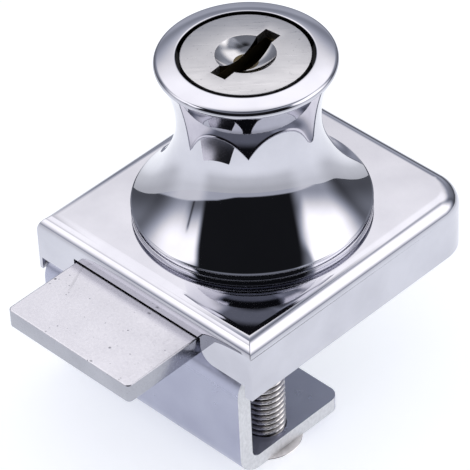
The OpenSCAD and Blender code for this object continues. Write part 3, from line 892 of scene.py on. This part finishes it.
def glow_colour(level):
    """Bright parts of the tent are white, dim parts a little blue."""
    white = smooth_step(level, 0.3, 1.2)
    return [level * (cool + (warm - cool) * white) for cool, warm in zip(DIM_TINT, BRIGHT_TINT)] + [1.0]


def bare_material(name):
    """A material with nothing but its output."""
    material = bpy.data.materials.new(name)
    material.use_nodes = True
    tree = material.node_tree
    tree.nodes.remove(tree.nodes["Principled BSDF"])
    return material, tree


def show(tree, shader):
    tree.links.new(shader, tree.nodes["Material Output"].inputs["Surface"])


def stage_grid(name, points, columns, rows, more_faces, material):
    """A stage mesh of rings of points, joined by quads."""
    faces = list(more_faces)
    for j in range(rows):
        for i in range(columns):
            n = (i + 1) % columns
            faces.append((j * columns + i, (j + 1) * columns + i, (j + 1) * columns + n, j * columns + n))
    mesh = bpy.data.meshes.new(name)
    mesh.from_pydata(points, [], faces)
    mesh.materials.append(material)
    stage = bpy.data.objects.new(name, mesh)
    bpy.context.scene.collection.objects.link(stage)
    return stage


def light_tent():
    material, tree = bare_material("tent_glow")
    glow = add(tree, "Attribute", attribute_name="glow").outputs["Color"]
    show(tree, add(tree, "Emission", {"Color": glow, "Strength": 1.0}).outputs["Emission"])
    points, glows = [], []
    for j in range(TENT_ROWS + 1):
        elevation = TENT_FROM + (90 - TENT_FROM) * j / TENT_ROWS
        for i in range(TENT_COLUMNS):
            azimuth = 360 * i / TENT_COLUMNS
            e, a = math.radians(elevation), math.radians(azimuth)
            points.append((TENT_R * math.cos(e) * math.cos(a), TENT_R * math.cos(e) * math.sin(a),
                           TENT_Z + TENT_R * math.sin(e)))
            glows.extend(glow_colour(tent_glow(azimuth, elevation)))
    tent = stage_grid("light_tent", points, TENT_COLUMNS, TENT_ROWS, [], material)
    tent.data.attributes.new("glow", "FLOAT_COLOR", "POINT").data.foreach_set("color", glows)
    tent.visible_camera = False
    tent.visible_diffuse = False
    tent.visible_shadow = False


def seen_directly(tree):
    """One where the eye, a mirror or glass looks at a surface, nought for the light it gives off."""
    path = add(tree, "LightPath").outputs
    rays = {0: path["Is Camera Ray"], 1: path["Is Glossy Ray"]}
    seen = add(tree, "Math", rays, operation="MAXIMUM").outputs["Value"]
    rays = {0: seen, 1: path["Is Transmission Ray"]}
    return add(tree, "Math", rays, operation="MAXIMUM").outputs["Value"]


def floor_reach(azimuth):
    """How far the floor goes, less far behind the object."""
    return FLOOR_R - FLOOR_SHORT * between(azimuth, *SHORT_FLOOR)


def floor_lift(r, azimuth):
    """Glow of the floor, white around the object, weaker further out and stronger under the soft boxes."""
    far = 0.18 * (1 - smooth_step(r, 0.07, 0.22)) + 0.25 * beside(azimuth)
    return FLOOR_LIFT + (far - FLOOR_LIFT) * smooth_step(r, 0.066, 0.11)


def studio_floor():
    material, tree = bare_material("studio_floor")
    lifted = add(tree, "Attribute", attribute_name="lift").outputs["Fac"]
    lift = add(tree, "Math", {0: seen_directly(tree), 1: lifted}, operation="MULTIPLY").outputs["Value"]
    base = add(tree, "BsdfDiffuse", {"Color": (*[FLOOR_TONE * c for c in FLOOR_TINT], 1)})
    glow = add(tree, "Emission", {"Color": (*FLOOR_TINT, 1), "Strength": lift})
    both = add(tree, "AddShader", {0: base.outputs["BSDF"], 1: glow.outputs["Emission"]})
    show(tree, both.outputs["Shader"])
    points, lifts = [], []
    for j in range(FLOOR_RINGS + 1):
        for i in range(FLOOR_SIDES):
            azimuth = 360 * i / FLOOR_SIDES
            turn = math.radians(azimuth)
            r = FLOOR_HOLE + (floor_reach(azimuth) - FLOOR_HOLE) * j / FLOOR_RINGS
            points.append((r * math.cos(turn), r * math.sin(turn), FLOOR_Z))
            lifts.append(floor_lift(r, azimuth))
    middle = list(range(FLOOR_SIDES))
    floor = stage_grid("floor", points, FLOOR_SIDES, FLOOR_RINGS, [middle], material)
    floor.data.attributes.new("lift", "FLOAT", "POINT").data.foreach_set("value", lifts)


def studio_world():
    world = bpy.data.worlds.new("studio")
    world.use_nodes = True
    tree = world.node_tree
    back = tree.nodes["Background"]
    back.inputs["Color"].default_value = (0.99, 0.99, 1.0, 1)
    level = spread(tree, seen_directly(tree), WORLD_LIGHT, 1.0, 0.0, 1.0)
    tree.links.new(level, back.inputs["Strength"])
    bpy.context.scene.world = world


light_tent()
studio_floor()
studio_world()


# Camera at the photograph's angle
IMAGE_PX = 470
FOCAL_PX = 3493.053
CENTRE_PX = (254.476, 254.91)
CAMERA_AZIMUTH = math.radians(136.044)
CAMERA_ELEVATION = math.radians(40.39)
CAMERA_ROLL = math.radians(-2.785)
CAMERA_DISTANCE = 0.410163
SENSOR_MM = 36.0


def photo_camera():
    a, e, r = CAMERA_AZIMUTH, CAMERA_ELEVATION, CAMERA_ROLL
    back = Vector((math.sin(a) * math.cos(e), -math.cos(a) * math.cos(e), math.sin(e)))
    level = Vector((math.cos(a), math.sin(a), 0))
    upright = back.cross(level)
    right = level * math.cos(r) + upright * math.sin(r)
    up = upright * math.cos(r) - level * math.sin(r)
    metres_per_px = CAMERA_DISTANCE / FOCAL_PX
    off_x = (CENTRE_PX[0] - IMAGE_PX / 2) * metres_per_px
    off_y = (IMAGE_PX / 2 - CENTRE_PX[1]) * metres_per_px
    place_at = back * CAMERA_DISTANCE - right * off_x - up * off_y + Vector((0, 0, cover_lo.z * MM))
    data = bpy.data.cameras.new("photo_camera")
    data.sensor_width = SENSOR_MM
    data.lens = SENSOR_MM * FOCAL_PX / IMAGE_PX
    data.clip_start = 0.01
    camera = bpy.data.objects.new("photo_camera", data)
    rotation = Matrix((right, up, back)).transposed().to_4x4()
    camera.matrix_world = Matrix.Translation(place_at) @ rotation
    bpy.context.scene.collection.objects.link(camera)
    bpy.context.scene.camera = camera


photo_camera()
bpy.context.scene.view_settings.view_transform = "Standard"
